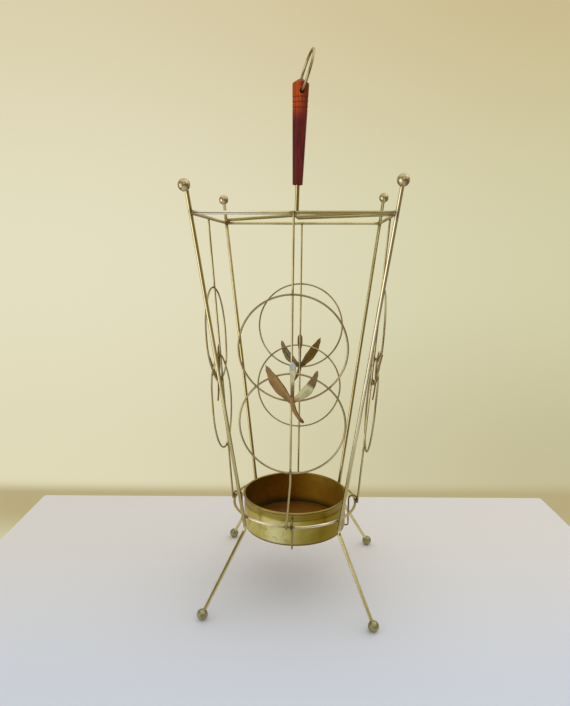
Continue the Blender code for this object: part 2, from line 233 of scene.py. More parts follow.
def place_of(tree, stretch=(1.0, 1.0, 1.0)):
    """The point's place in the row frame, stretched."""
    where = add_node(tree, "TexCoord").outputs["Object"]
    return add_node(tree, "Mapping", Vector=where, Scale=stretch).outputs["Vector"]


def wire_of(tree, stretch):
    """Place along and round a tube, stretched."""
    where = add_node(tree, "UVMap")
    where.uv_map = WIRE_MAP
    return add_node(tree, "Mapping", Vector=where.outputs["UV"], Scale=stretch).outputs["Vector"]


def noise_of(where, scale, detail=4.0, rough=0.55, distortion=0.0):
    look = {"Scale": scale, "Detail": detail, "Roughness": rough, "Distortion": distortion}
    return add_node(tree_of(where), "TexNoise", Vector=where, **look).outputs["Fac"]


def span(value, low, high, to_low=0.0, to_high=1.0):
    """Maps value from low..high to to_low..to_high, clamped and smoothed."""
    limits = {"From Min": low, "From Max": high, "To Min": to_low, "To Max": to_high}
    made = add_node(tree_of(value), "MapRange", Value=value, **limits)
    made.interpolation_type = "SMOOTHSTEP"
    return made.outputs["Result"]


def maths(operation, *values):
    made = add_node(tree_of(*values), "Math")
    made.operation = operation
    for socket, value in zip(made.inputs, values):
        put(socket, value)
    return made.outputs["Value"]


def times(first, second):
    return maths("MULTIPLY", first, second)


def plus(first, second, share=1.0):
    """The first value with a share of the second."""
    return maths("MULTIPLY_ADD", second, share, first)


def blend(share, first, second, mode="MIX"):
    made = add_node(tree_of(share, first, second), "Mix")
    made.data_type = "RGBA"
    made.blend_type = mode
    for index, value in ((0, share), (6, first), (7, second)):
        put(made.inputs[index], value)
    return made.outputs[2]


def layer(colour, tone, value, low, high, most=1.0):
    """Lays a tone over the colour: none where the value is at low, the most where it is at high."""
    return blend(span(value, low, high, 0.0, most), colour, tone)


def bumps(height, strength, distance):
    made = add_node(tree_of(height), "Bump", Height=height, Strength=strength, Distance=distance)
    return made.outputs["Normal"]


def axis_of(tree, axis):
    """One coordinate of the point, in metres."""
    return add_node(tree, "SeparateXYZ", Vector=add_node(tree, "TexCoord").outputs["Object"]).outputs[axis]


def number_of(tree, name, output="Fac"):
    """A number or colour kept on each vertex of the mesh."""
    made = add_node(tree, "Attribute")
    made.attribute_name = name
    return made.outputs[output]


# Materials


def rod_material(name, bright, dull, stain, rough=(0.15, 0.34), patch=22.0):
    """Lacquered brass rod or wire: smooth, faint drawn lines along it, slow tarnish, dark welds, and, where
    numbers on the mesh set them, a darker olive tone (partly painted shade) and a pale painted highlight.
    """
    material, tree = new_material(name)
    where = place_of(tree)
    lines = noise_of(wire_of(tree, (7.0, 2400.0, 1.0)), 1.0, 2.0, 0.5)
    specks = noise_of(where, 520.0, 1.0, 0.5)
    weld = number_of(tree, "weld")
    tarnish = span(noise_of(where, patch, 4.0, 0.55, 0.5), 0.40, 0.74)
    colour = blend(tarnish, bright, dull)
    colour = layer(colour, dull, lines, 0.45, 0.8, 0.25)
    colour = layer(colour, stain, specks, 0.68, 0.76, 0.6)
    # Darker olive where the mesh's number is set: painted shade on the front rail and the handle bar, plain
    # darkening low on the posts and wires.
    colour = blend(number_of(tree, "darkening_and_shade"), colour, (0.36, 0.27, 0.075))
    # Painted highlight: a pale whitish tone where the mesh's number is set.
    colour = blend(number_of(tree, "painted_highlight"), colour, (0.96, 0.90, 0.78))
    colour = layer(colour, stain, weld, 0.15, 0.9, 0.75)
    rough = span(plus(tarnish, weld, 0.8), 0.0, 1.5, *rough)
    return finish_look(material, colour, rough, 1.0, bumps(lines, 0.12, 0.00003))


def ball_material(name, bright, dull, stain, rough):
    """Turned brass ball gone dull, clouded and lightly pitted."""
    material, tree = new_material(name)
    where = place_of(tree)
    clouds = noise_of(where, 120.0, 4.0, 0.6, 0.6)
    pits = span(noise_of(where, 900.0, 1.0, 0.5), 0.68, 0.76)
    weld = number_of(tree, "weld")
    tarnish = span(clouds, 0.38, 0.72)
    colour = blend(tarnish, bright, dull)
    colour = blend(times(pits, 0.6), colour, stain)
    colour = layer(colour, stain, weld, 0.25, 0.95, 0.85)
    rough = span(plus(tarnish, weld), 0.0, 1.5, *rough)
    relief = maths("SUBTRACT", times(clouds, 0.4), pits)
    return finish_look(material, colour, rough, 1.0, bumps(relief, 0.25, 0.00006))


def braze_material():
    """Braze metal: duller and browner than the rods, lumpy, with scale left by the flux."""
    material, tree = new_material("braze")
    lumps = noise_of(place_of(tree), 380.0, 3.0, 0.55, 0.6)
    scale = span(lumps, 0.40, 0.72)
    colour = blend(scale, (0.46, 0.36, 0.15), (0.12, 0.085, 0.035))
    rough = span(scale, 0.0, 1.0, 0.30, 0.60)
    metal = span(scale, 0.3, 1.0, 1.0, 0.75)
    return finish_look(material, colour, rough, metal, bumps(lumps, 0.3, 0.00015))


def pan_outside_material():
    """Spun brass sheet gone greenish yellow: turning lines round it, faint runs, a few dark spots, painted
    shade towards its right side and a painted highlight left of its front.
    """
    material, tree = new_material("pan_outside")
    where = place_of(tree)
    east = axis_of(tree, "X")
    clouds = noise_of(where, 20.0, 4.0, 0.55, 0.5)
    runs = noise_of(place_of(tree, (70.0, 70.0, 9.0)), 1.0, 3.0, 0.5)
    rounds = noise_of(place_of(tree, (3.0, 3.0, 1500.0)), 1.0, 2.0, 0.55)
    smudges = noise_of(where, 75.0, 4.0, 0.65, 1.0)
    specks = span(noise_of(where, 330.0, 2.0, 0.6), 0.70, 0.77)
    height = number_of(tree, "height")
    tarnish = span(plus(clouds, runs, 0.25), 0.48, 0.86)
    colour = blend(tarnish, (0.68, 0.58, 0.18), (0.52, 0.41, 0.075))
    # Painted shade: darker and browner towards the right side.
    colour = layer(colour, (0.255, 0.165, 0.006), plus(east, clouds, 0.03), -0.012, 0.062, 0.92)
    colour = layer(colour, (0.25, 0.155, 0.004), height, 0.70, 0.80, 0.58)
    # Painted highlight: a pale patch on the lower wall, left of the front.
    aside = maths("ABSOLUTE", plus(east, 0.024))
    painted_sheen = times(span(aside, 0.0, 0.026, 0.6, 0.0), span(height, 0.62, 0.78, 1.0, 0.0))
    colour = blend(painted_sheen, colour, (0.92, 0.86, 0.46))
    colour = layer(colour, (0.36, 0.26, 0.05), rounds, 0.45, 0.75, 0.22)
    colour = layer(colour, (0.33, 0.235, 0.030), smudges, 0.48, 0.72, 0.45)
    colour = layer(colour, (0.15, 0.070, 0.020), height, 0.085, 0.035, 0.95)
    colour = blend(times(specks, 0.7), colour, (0.12, 0.08, 0.03))
    colour = layer(colour, (0.42, 0.32, 0.12), number_of(tree, "edge"), 0.2, 1.0, 0.6)
    rough = span(plus(tarnish, specks, 0.4), 0.0, 1.3, 0.30, 0.44)
    return finish_look(material, colour, rough, 1.0, bumps(rounds, 0.14, 0.00005))


def pan_inside_material():
    """Inside of the pan: brown tarnish, painted shade on its left side and in the corner, a painted highlight
    on its right side, with a reddish bloom on the floor.
    """
    material, tree = new_material("pan_inside")
    where = place_of(tree)
    east = axis_of(tree, "X")
    clouds = noise_of(where, 26.0, 5.0, 0.58, 0.8)
    blooms = noise_of(where, 55.0, 4.0, 0.6, 1.2)
    rounds = noise_of(place_of(tree, (3.0, 3.0, 1300.0)), 1.0, 2.0, 0.5)
    rings = maths("SUBTRACT", noise_of(where, 40.0, 0.0, 0.5, 0.6), 0.5)
    tide = span(maths("ABSOLUTE", rings), 0.0, 0.03, 1.0, 0.0)
    floor = number_of(tree, "floor")
    corner = number_of(tree, "corner")
    colour = blend(span(clouds, 0.35, 0.7), (0.47, 0.29, 0.020), (0.29, 0.160, 0.010))
    # Painted shade on the left side of the inside.
    colour = layer(colour, (0.13, 0.065, 0.006), east, 0.03, -0.055, 0.55)
    # Painted highlight: golden brown on the right side of the inside.
    colour = layer(colour, (0.98, 0.70, 0.10), east, -0.01, 0.035, 0.85)
    red = blend(span(blooms, 0.4, 0.68), (0.30, 0.16, 0.034), (0.38, 0.15, 0.042))
    colour = blend(floor, colour, red)
    colour = blend(times(tide, times(floor, 0.4)), colour, (0.34, 0.20, 0.07))
    # Painted shade in the corner between the wall and the floor.
    colour = blend(corner, colour, (0.045, 0.024, 0.005))
    rough = plus(span(clouds, 0.3, 0.75, 0.36, 0.52), corner, 0.45)
    return finish_look(material, colour, rough, 0.92, bumps(rounds, 0.15, 0.00005))


def leaf_material():
    """Sheet-metal leaf: colours kept on the mesh (patina with painted reflections and painted shade),
    clouded, with a darker edge and midrib.
    """
    material, tree = new_material("leaf_copper")
    clouds = noise_of(place_of(tree), 85.0, 4.0, 0.6, 0.7)
    lines = noise_of(wire_of(tree, (30.0, 1500.0, 1.0)), 1.0, 3.0, 0.55)
    tint = number_of(tree, "tint", "Color")
    edge = number_of(tree, "edge")
    shade = span(clouds, 0.35, 0.72, 0.0, 0.38)
    for value, low, high, most in (
        (lines, 0.5, 0.8, 0.2),
        (edge, 0.35, 1.0, 0.35),
        (number_of(tree, "rib"), 0.3, 1.0, 0.22),
        (number_of(tree, "weld"), 0.3, 1.0, 0.15),
    ):
        shade = plus(shade, span(value, low, high, 0.0, most))
    dark = blend(1.0, tint, (0.30, 0.24, 0.20), "MULTIPLY")
    colour = blend(maths("MINIMUM", shade, 0.9), tint, dark)
    rough = span(plus(clouds, edge), 0.3, 1.6, 0.34, 0.5)
    return finish_look(material, colour, rough, 0.9, bumps(lines, 0.2, 0.00006))


def wood_material():
    """Dark red turned hardwood: orange-brown above the lowest groove, maroon below, with long grain and
    painted shade on its right side.
    """
    material, tree = new_material("grip_wood")
    grain = noise_of(place_of(tree, (320.0, 320.0, 13.0)), 1.0, 5.0, 0.62, 0.8)
    pores = span(noise_of(place_of(tree, (1900.0, 1900.0, 120.0)), 1.0, 2.0, 0.5), 0.63, 0.74)
    clouds = noise_of(place_of(tree), 48.0, 3.0, 0.5, 0.5)
    groove = number_of(tree, "groove")
    # Painted shade: the upper wood goes darker towards the grip's right side.
    side = plus(number_of(tree, "side"), grain, 0.3)
    level = plus(number_of(tree, "height"), grain, 0.05)
    upper = blend(span(grain, 0.36, 0.66), (0.52, 0.085, 0.014), (0.23, 0.026, 0.005))
    upper = layer(upper, (0.085, 0.010, 0.003), side, 0.1, 1.0, 0.85)
    lower = blend(span(grain, 0.34, 0.66), (0.16, 0.020, 0.021), (0.074, 0.0085, 0.0110))
    lower = layer(lower, (0.12, 0.022, 0.008), clouds, 0.42, 0.7, 0.5)
    colour = layer(lower, upper, level, 0.60, 0.82)
    colour = blend(times(pores, 0.45), colour, (0.02, 0.006, 0.004))
    # Darker in the grooves, and painted shade inside the cross hole.
    colour = blend(times(groove, 0.60), colour, (0.055, 0.010, 0.004))
    rough = span(plus(grain, groove), 0.3, 1.6, 0.38, 0.62)
    relief = maths("SUBTRACT", grain, pores)
    soft = {"Specular IOR Level": 0.08, "Coat Weight": 0.03, "Coat Roughness": 0.25}
    return finish_look(material, colour, rough, 0.0, bumps(relief, 0.25, 0.00010), **soft)


# Mesh helpers


def finish_piece(name, mesh, materials, body, nodes=()):
    """Makes the mesh a piece that rides on a body, in place of CAD nodes."""
    mesh.shade_smooth()
    for material in materials:
        mesh.materials.append(material)
    piece = add_object(name, mesh)
    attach(piece, body)
    if nodes:
        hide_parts(*nodes)
    PIECES.append(piece)
    return piece


def clamp(value):
    return max(0.0, min(1.0, value))


def add_object(name, data):
    made = bpy.data.objects.new(name, data)
    bpy.context.scene.collection.objects.link(made)
    return made


def mesh_from(bm, name):
    mesh = bpy.data.meshes.new(name)
    bm.to_mesh(mesh)
    bm.free()
    return mesh


def mark_welds():
    """Keeps on every vertex how near it is to a brazed place, 1 at its middle."""
    for piece in PIECES:
        count = len(piece.data.vertices)
        places = np.empty(count * 3, np.float32)
        piece.data.vertices.foreach_get("co", places)
        places = places.reshape(-1, 3)
        near = np.zeros(count, np.float32)
        for centre, reach in WELDS:
            away = np.linalg.norm(places - np.array(centre, np.float32), axis=1)
            near = np.maximum(near, np.exp(-((away / reach) ** 2)))
        set_numbers(piece.data, "weld", near)


def set_numbers(mesh, name, values):
    mark = mesh.attributes.new(name, "FLOAT", "POINT")
    mark.data.foreach_set("value", np.array(values, np.float32))


def mark(mesh, name, rule):
    """Keeps on every vertex the number that the rule gives for its place."""
    set_numbers(mesh, name, [rule(vertex.co) for vertex in mesh.vertices])


def darken_low(piece, amount):
    """Darkens the part of a rod beside the pan, above the bend of the legs."""

    def darkening_and_shade(place):
        low = clamp((DARK_TOP - place.z) / DARK_FADE)
        return amount * low * low if place.z > DARK_BOTTOM else 0.0

    mark(piece.data, "darkening_and_shade", darkening_and_shade)


def wobble(points, amount, seed):
    """The same line with a slow hand-made waver, none at its ends."""
    total = len(points) - 1
    moved = []
    for index, point in enumerate(points):
        share = index / total
        ease = min(1.0, 4 * share, 4 * (1 - share))
        drift = noise.noise_vector(Vector((share * 5.0, seed, 0.3)))
        moved.append(point + drift * amount * ease)
    return moved


def along_line(first, last, count):
    return [first.lerp(last, step / count) for step in range(count + 1)]


def domed(rings, lengths, first_way, last_way):
    """The same sections with a rounded cap of smaller ones at each end."""
    caps = ((0.36, 0.33), (0.68, 0.24), (0.90, 0.10), (1.0, 0.0), (1.0, -0.3))
    point, across, up, radius = rings[0]
    before = [(point - first_way * radius * push, across, up, radius * share) for share, push in caps]
    point, across, up, radius = rings[-1]
    after = [(point + last_way * radius * push, across, up, radius * share) for share, push in reversed(caps)]
    start = [lengths[0] - radius * push for _, push in caps]
    end = [lengths[-1] + radius * push for _, push in reversed(caps)]
    return before + rings[1:-1] + after, start + lengths[1:-1] + end


def tube_mesh(name, points, radius, sides=16, closed=False, facing=None):
    """Round tube along the points. facing keeps a closed ring's sections from twisting."""
    count = len(points)
    tangents = []
    for index in range(count):
        before = points[index - 1] if (closed or index) else points[0]
        after = points[(index + 1) % count] if (closed or index < count - 1) else points[-1]
        tangents.append((after - before).normalized())
    rings = []
    normal = facing or tangents[0].orthogonal()
    for point, tangent in zip(points, tangents):
        base = facing or normal
        normal = (base - tangent * base.dot(tangent)).normalized()
        rings.append((point, normal, tangent.cross(normal), radius))
    lengths = [0.0]
    for first, second in zip(points, points[1:]):
        lengths.append(lengths[-1] + (second - first).length)
    if closed:
        lengths.append(lengths[-1] + (points[0] - points[-1]).length)
    else:
        rings, lengths = domed(rings, lengths, tangents[0], tangents[-1])
    turns = [2 * pi * side / sides for side in range(sides)]
    vertices = []
    for point, across, up, size in rings:
        vertices += [point + (across * cos(turn) + up * sin(turn)) * size for turn in turns]
    faces = []
    maps = []
    total = len(rings)
    girth = 2 * pi * radius / sides
    for index in range(total if closed else total - 1):
        here = index * sides
        there = (index + 1) % total * sides
        low, high = lengths[index], lengths[index + 1]
        for side in range(sides):
            beside = (side + 1) % sides
            near, far = side * girth, (side + 1) * girth
            faces.append((here + side, here + beside, there + beside, there + side))
            maps.append(((low, near), (low, far), (high, far), (high, near)))
    if not closed:
        faces.append(tuple(reversed(range(sides))))
        maps.append(((lengths[0], 0.0),) * sides)
        faces.append(tuple(range((total - 1) * sides, total * sides)))
        maps.append(((lengths[-1], 0.0),) * sides)
    mesh = bpy.data.meshes.new(name)
    mesh.from_pydata(vertices, [], faces)
    chart = mesh.uv_layers.new(name=WIRE_MAP)
    chart.data.foreach_set("uv", [number for face in maps for pair in face for number in pair])
    return mesh


def add_tube(name, points, radius, material, slot, nodes=(), body="stand", **how):
    return finish_piece(name, tube_mesh(name, points, radius, **how), [material], body, nodes)


def circle_points(radius, count):
    turns = [2 * pi * step / count for step in range(count)]
    return [Vector((radius * cos(turn), radius * sin(turn), 0)) for turn in turns]


def rounded(before, corner, after, radius, count=12):
    """Points on the arc that rounds the corner between two straight stretches."""
    into = (before - corner).normalized()
    out = (after - corner).normalized()
    half = into.angle(out) / 2
    centre = corner + (into + out).normalized() * radius / sin(half)
    start = corner + into * radius / tan(half) - centre
    end = corner + out * radius / tan(half) - centre
    turn = start.angle(end)
    axis = start.cross(end).normalized()
    return [centre + Matrix.Rotation(turn * step / count, 3, axis) @ start for step in range(count + 1)]


def arc(centre, radius, first, last, count):
    turns = [first + (last - first) * step / count for step in range(count + 1)]
    return [(centre[0] + radius * cos(turn), centre[1] + radius * sin(turn)) for turn in turns]


def turned_mesh(name, profile, steps):
    """A surface turned about Z from (radius, height) points whose ends lie on the axis."""
    vertices = []
    rows = []
    for radius, height in profile:
        if radius < 1e-7:
            rows.append([len(vertices)] * steps)
            vertices.append((0.0, 0.0, height))
            continue
        rows.append(list(range(len(vertices), len(vertices) + steps)))
        for step in range(steps):
            turn = 2 * pi * step / steps
            vertices.append((radius * cos(turn), radius * sin(turn), height))
    faces = []
    for lower, upper in zip(rows, rows[1:]):
        for step in range(steps):
            beside = (step + 1) % steps
            corners = (lower[step], lower[beside], upper[beside], upper[step])
            faces.append(tuple(dict.fromkeys(corners)))
    mesh = bpy.data.meshes.new(name)
    mesh.from_pydata(vertices, [], faces)
    return mesh


def add_bead(group, centre, first, second, radii, reach=0.0055):
    """A braze bead: an ellipsoid on two directions and their normal. It also marks a weld."""
    along = first.normalized()
    across = (second - along * second.dot(along)).normalized()
    BEADS.setdefault(group, []).append((centre, along, across, along.cross(across), radii))
    WELDS.append((centre, reach))


def build_beads(braze, hook):
    for group, beads in BEADS.items():
        bm = bmesh.new()
        for seed, (centre, along, across, normal, radii) in enumerate(beads):
            made = bmesh.ops.create_icosphere(bm, subdivisions=3, radius=1.0)
            for vert in made["verts"]:
                lump = 1 + 0.16 * noise.noise(vert.co * 1.7 + Vector((seed * 3.1, 0, 0)))
                lump += 0.06 * noise.noise(vert.co * 5.0 + Vector((0, seed * 2.3, 0)))
                size = vert.co * lump
                vert.co = centre + along * size.x * radii[0] + across * size.y * radii[1]
                vert.co += normal * size.z * radii[2]
        name = "braze_" + group
        mesh = mesh_from(bm, name)
        finish_piece(name, mesh, [hook if group == "hooks" else braze], "stand")


# The stand's lines


def post_point(corner, height):
    """Where a corner post's centre line passes this height, above the bend."""
    side, depth, nudge, _, _ = CORNERS[corner]
    bend = Vector((side * BEND_HALF, depth * BEND_HALF, BEND_Z))
    at_rail = Vector((side * RAIL_HALF + nudge, depth * RAIL_HALF, RAIL_Z))
    return bend.lerp(at_rail, (height - BEND_Z) / (RAIL_Z - BEND_Z))


def foot_point(corner):
    side, depth = CORNERS[corner][:2]
    flat = Vector((side * FOOT_HALF, depth * FOOT_HALF, BALL_RADIUS))
    return Matrix.Rotation(FOOT_TWIST, 3, "Z") @ flat


def rail_line(face):
    corners = list(CORNERS)
    index = list(FACES).index(face)
    return post_point(corners[index], RAIL_Z), post_point(corners[(index + 1) % 4], RAIL_Z)


def build_posts(rod, finial, ball):
    for seed, (corner, (_, _, _, rise, shift)) in enumerate(CORNERS.items()):
        top = post_point(corner, FINIAL_Z + rise)
        bend = post_point(corner, BEND_Z)
        foot = foot_point(corner)
        down = (bend - top).normalized()
        out = (foot - bend).normalized()
        curve = rounded(top, bend, foot, BEND_RADIUS)
        route = wobble(along_line(top + down * ROD_END, curve[0], 56), 0.00028, seed * 7.3)[:-1]
        route += curve
        route += along_line(curve[-1], foot - out * ROD_END, 16)[1:]
        for weld in (top + down * BALL_WELD, foot - out * BALL_WELD):
            WELDS.append((weld, 0.0028))
        post = add_tube("post_rod_" + corner, route, POST_R, rod, "rod_brass", ["post_" + corner], sides=18)
        darken_low(post, 0.55)
        if corner == "front_right":
            # Painted highlight: a pale tone on the upper front right post.
            mark(post.data, "painted_highlight", lambda place: 0.36 * clamp(place.z / 0.15 - 1.3))
        add_ball("finial_ball_" + corner, top + Vector((shift, 0, 0)), down, finial, "finial_" + corner)
        add_ball("foot_ball_" + corner, foot, -out, ball, "foot_" + corner)


def add_ball(name, centre, toward_rod, material, node):
    """A turned ball with a small braze collar where the rod goes in."""
    seat = asin((POST_R + 0.0002) / BALL_RADIUS)
    rise = BALL_RADIUS * cos(seat) + 0.0007
    collar = [(0.0, rise), (POST_R * 0.98, rise), (POST_R + 0.0003, rise - 0.0004)]
    round_side = arc((0, 0), BALL_RADIUS, pi / 2 - seat - 0.07, -pi / 2, 34)
    profile = collar + round_side[:-1] + [(0.0, -BALL_RADIUS)]
    mesh = turned_mesh(name, list(reversed(profile)), 56)
    for vertex in mesh.vertices:
        vertex.co *= 1 - 0.003 * abs(noise.noise(vertex.co * 260 + centre * 90))
    mesh.transform(Matrix.Translation(centre) @ toward_rod.to_track_quat("Z", "Y").to_matrix().to_4x4())
    ball = finish_piece(name, mesh, [material], "stand", [node])
    ball.data.set_sharp_from_angle(angle=radians(40))


def build_top_frame(rod):
    for seed, face in enumerate(FACES):
        first, second = rail_line(face)
        along = (second - first).normalized()
        for end, inward in ((first, along), (second, -along)):
            add_bead("corners", end + inward * (POST_R + 0.0004), inward, UP, (0.0021, 0.0030, 0.0028), 0.007)
        inset = along * POST_R * 0.8
        route = wobble(along_line(first + inset, second - inset, 40), 0.00022, 40 + seed)
        rail = add_tube("rail_rod_" + face, route, RAIL_R, rod, "rod_brass", ["top_rail_" + face])
        if face == "front":
            # Painted shade on the front rail's right half, painted highlight on its left half.
            mark(rail.data, "darkening_and_shade", lambda place: 0.8 * clamp(place.x / 0.03 + 0.5))
            mark(rail.data, "painted_highlight", lambda place: 0.85 * clamp(-place.x / 0.05 - 0.3))


def build_handle(rod, ring_brass, wood):
    up = Matrix.Rotation(HANDLE_LEAN, 3, "Y") @ UP
    foot = ELBOW + up * (GRIP_BOTTOM_Z - ELBOW.z)
    reach = RAIL_HALF - RAIL_R - HANDLE_R * sqrt(0.5) - 2 * GAP
    corner = Vector((reach, -reach, RAIL_Z - CORNER_DROP))
    inward = Vector((1, -1, 0)).normalized()
    curve = rounded(foot, ELBOW, corner, ELBOW_RADIUS, 14)
    route = along_line(foot + up * 0.012, curve[0], 12)[:-1] + curve
    route += wobble(along_line(curve[-1], corner, 40), 0.0002, 61.0)[1:]
    bar = add_tube("handle_bar", route, HANDLE_R, rod, "rod_brass", ["handle_rod"], sides=20)
    # Painted shade: the handle bar is a darker copy of the rod brass all along.
    mark(bar.data, "darkening_and_shade", lambda place: 0.3)
    bar_z = RAIL_Z + RAIL_R + DIVIDER_R + GAP
    start = post_point("back_left", bar_z) + inward * (POST_R + 4 * GAP)
    end = Vector((ELBOW.x, ELBOW.y, bar_z)) - inward * (HANDLE_R + 2 * GAP)
    for centre, radii, weld in (
        (corner + inward * 0.0022, (0.0034, 0.0030, 0.0042), 0.009),
        (start - UP * 0.0012, (0.0040, 0.0032, 0.0040), 0.012),
        (end + inward * 0.0008, (0.0020, 0.0030, 0.0028), 0.007),
    ):
        add_bead("corners", centre, inward, UP, radii, weld)
    line = wobble(along_line(start - inward * 0.001, end + inward * 0.001, 36), 0.0002, 66.0)
    add_tube("divider_rod", line, DIVIDER_R, rod, "rod_brass", ["divider_bar"])
    add_grip(foot, wood)
    pivot = Matrix.Translation(foot + up * GRIP_HOLE) @ Matrix.Rotation(HOLE_TURN, 4, "Z")
    lean = pivot @ Matrix.Rotation(CARRY_LEAN, 4, "Y")
    loop = [lean @ Vector((0, point.x, point.y + CARRY_OFFSET)) for point in circle_points(CARRY_RADIUS, 120)]
    facing = (lean.to_3x3() @ Vector((1, 0, 0))).normalized()
    nodes = ["carry_ring"]
    add_tube("carry_loop", loop, CARRY_R, ring_brass, "ring_brass", nodes, "ring", closed=True, facing=facing)


def grip_radius(height):
    """The plain taper's radius at this height."""
    return GRIP_BOTTOM_RADIUS + (GRIP_TOP_RADIUS - GRIP_BOTTOM_RADIUS) * height / GRIP_SHOULDER


def groove_depth(height):
    away = min(abs(height - groove) for groove in GRIP_GROOVES) / GROOVE_HALF
    return GROOVE_DEPTH * cos(pi / 2 * away) ** 0.7 if away < 1 else 0.0


def grip_profile():
    """From the top of the rod's socket down, out at the foot and up the taper to the low cone."""
    socket = HANDLE_R + 0.0002
    profile = [(0.0, GRIP_SOCKET), (socket, GRIP_SOCKET), (socket, 0.0006), (socket + 0.0005, 0.0)]
    profile += [(GRIP_BOTTOM_RADIUS - 0.0008, 0.0), (GRIP_BOTTOM_RADIUS - 0.0002, 0.0003)]
    heights = [0.0010 + 0.0044 * step for step in range(30)]
    for groove in GRIP_GROOVES:
        heights = [height for height in heights if abs(height - groove) > GROOVE_HALF + 0.0004]
        shares = (-1.25, -1.0, -0.75, -0.4, 0.0, 0.4, 0.75, 1.0, 1.25)
        heights += [groove + GROOVE_HALF * share for share in shares]
    for height in sorted(heights):
        if height < GRIP_SHOULDER - 0.0008:
            profile.append((grip_radius(height) - groove_depth(height), height))
    profile.append((GRIP_TOP_RADIUS - 0.00005, GRIP_SHOULDER - 0.0005))
    profile.append((GRIP_TOP_RADIUS - 0.0003, GRIP_SHOULDER))
    for share in (0.08, 0.3, 0.6, 0.9):
        radius = GRIP_TOP_RADIUS + (GRIP_TIP_RADIUS - GRIP_TOP_RADIUS) * share
        profile.append((radius, GRIP_SHOULDER + (GRIP_LENGTH - GRIP_SHOULDER) * share))
    profile += [(GRIP_TIP_RADIUS - 0.0003, GRIP_LENGTH - 0.0002), (GRIP_TIP_RADIUS * 0.6, GRIP_LENGTH)]
    return profile + [(0.0, GRIP_LENGTH)]


def hole_cutter():
    """The grip's cross hole, countersunk at both ends."""
    sizes = ((0, 0.017), (1.5, 0.017), (1.06, 0.0104), (1, 0.0096))
    half = [(HOLE_RADIUS * size, depth) for size, depth in sizes]
    profile = [(radius, -depth) for radius, depth in half] + list(reversed(half))
    mesh = turned_mesh("grip_hole", profile, 32)
    mesh.transform(Matrix.Rotation(HOLE_TURN, 4, "Z") @ Matrix.Rotation(pi / 2, 4, "X"))
    mesh.transform(Matrix.Translation((0, 0, GRIP_HOLE)))
    return mesh


def cut_away(mesh, cutter_mesh):
    """The mesh with the cutter's shape taken out of it."""
    blank = add_object("blank", mesh)
    cutter = add_object("cutter", cutter_mesh)
    cut = blank.modifiers.new("hole", "BOOLEAN")
    cut.operation = "DIFFERENCE"
    cut.object = cutter
    graph = bpy.context.evaluated_depsgraph_get()
    done = bpy.data.meshes.new_from_object(blank.evaluated_get(graph))
    for each in (blank, cutter):
        bpy.data.objects.remove(each)
    return done


def add_grip(foot, wood):
    """The turned grip, with rounded grooves, a low cone on top and a countersunk cross hole."""

    # 1 in the grooves, where the wood is darker, and inside the cross hole, where the darkening is painted
    # shade.
    def groove(place):
        near = 1 - min(abs(place.z - middle) for middle in GRIP_GROOVES) / GROOVE_HALF
        in_hole = 0.1 < place.z <= GRIP_SHOULDER and place.xy.length < grip_radius(place.z) - 0.0011
        return max(0.0, near, float(in_hole))

    mesh = cut_away(turned_mesh("grip", grip_profile(), 80), hole_cutter())
    mark(mesh, "height", lambda place: place.z / GRIP_LENGTH)
    # How far right the vertex lies, for the painted shade on the grip's right side.
    mark(mesh, "side", lambda place: place.x / GRIP_TOP_RADIUS)
    mark(mesh, "groove", groove)
    mesh.transform(Matrix.Translation(foot) @ Matrix.Rotation(HANDLE_LEAN, 4, "Y"))
    grip = finish_piece("grip_turned", mesh, [wood], "stand", ["wood_grip"])
    grip.data.set_sharp_from_angle(angle=radians(38))


def build_hoop(wire):
    for corner in CORNERS:
        post = post_point(corner, HOOP_Z)
        out = Vector((post.x, post.y, 0)).normalized()
        add_bead("hoop", out * (HOOP_RADIUS + 0.0023) + UP * HOOP_Z, UP, out, (0.0030, 0.0020, 0.0024), 0.007)

    # Painted highlight on the hoop's front left and front right arcs.
    def painted_highlight(place):
        near = max(0.0, 1 - abs(abs(place.x) - 0.045) / 0.028)
        return 0.8 * near if place.y < 0 else 0.0

    loop = [point + UP * HOOP_Z for point in circle_points(HOOP_RADIUS, 144)]
    hoop = add_tube("hoop_ring", loop, HOOP_R, wire, "wire_brass", ["hoop"], closed=True, facing=UP)
    mark(hoop.data, "painted_highlight", painted_highlight)


def pan_profile():
    """Outside from the middle of the floor up to the rim, then down the inside."""
    outside = [(PAN_RADIUS * share, 0.0) for share in (0.0, 0.2, 0.4, 0.6, 0.8, 0.9)]
    outside += arc((PAN_RADIUS - PAN_EDGE, PAN_EDGE), PAN_EDGE, -pi / 2, 0, 8)
    outside += [(PAN_RADIUS, 0.0035 + 0.0034 * step) for step in range(10)]
    waist = PAN_RADIUS - PAN_STEP
    outside += [(PAN_RADIUS, PAN_STEP_Z - 0.0016), (PAN_RADIUS - 0.00008, PAN_STEP_Z - 0.0010)]
    outside += [(PAN_RADIUS - 0.00030, PAN_STEP_Z - 0.0003), (waist, PAN_STEP_Z + 0.0004)]
    outside += [(waist, PAN_STEP_Z + 0.0020 * step) for step in range(1, 4)]
    bead = (PAN_RIM_RADIUS - PAN_BEAD, PAN_HEIGHT - PAN_BEAD)
    outside += arc(bead, PAN_BEAD, -pi / 2.6, pi, 22)
    inner = waist - PAN_WALL
    inside = [(inner, PAN_HEIGHT - 2 * PAN_BEAD - 0.0042 * step) for step in range(10)]
    inside += arc((inner - PAN_EDGE, PAN_WALL + PAN_EDGE), PAN_EDGE, 0, -pi / 2, 8)
    inside += [((inner - PAN_EDGE) * share, PAN_WALL) for share in (0.94, 0.85, 0.7, 0.5, 0.25, 0.0)]
    return outside, inside


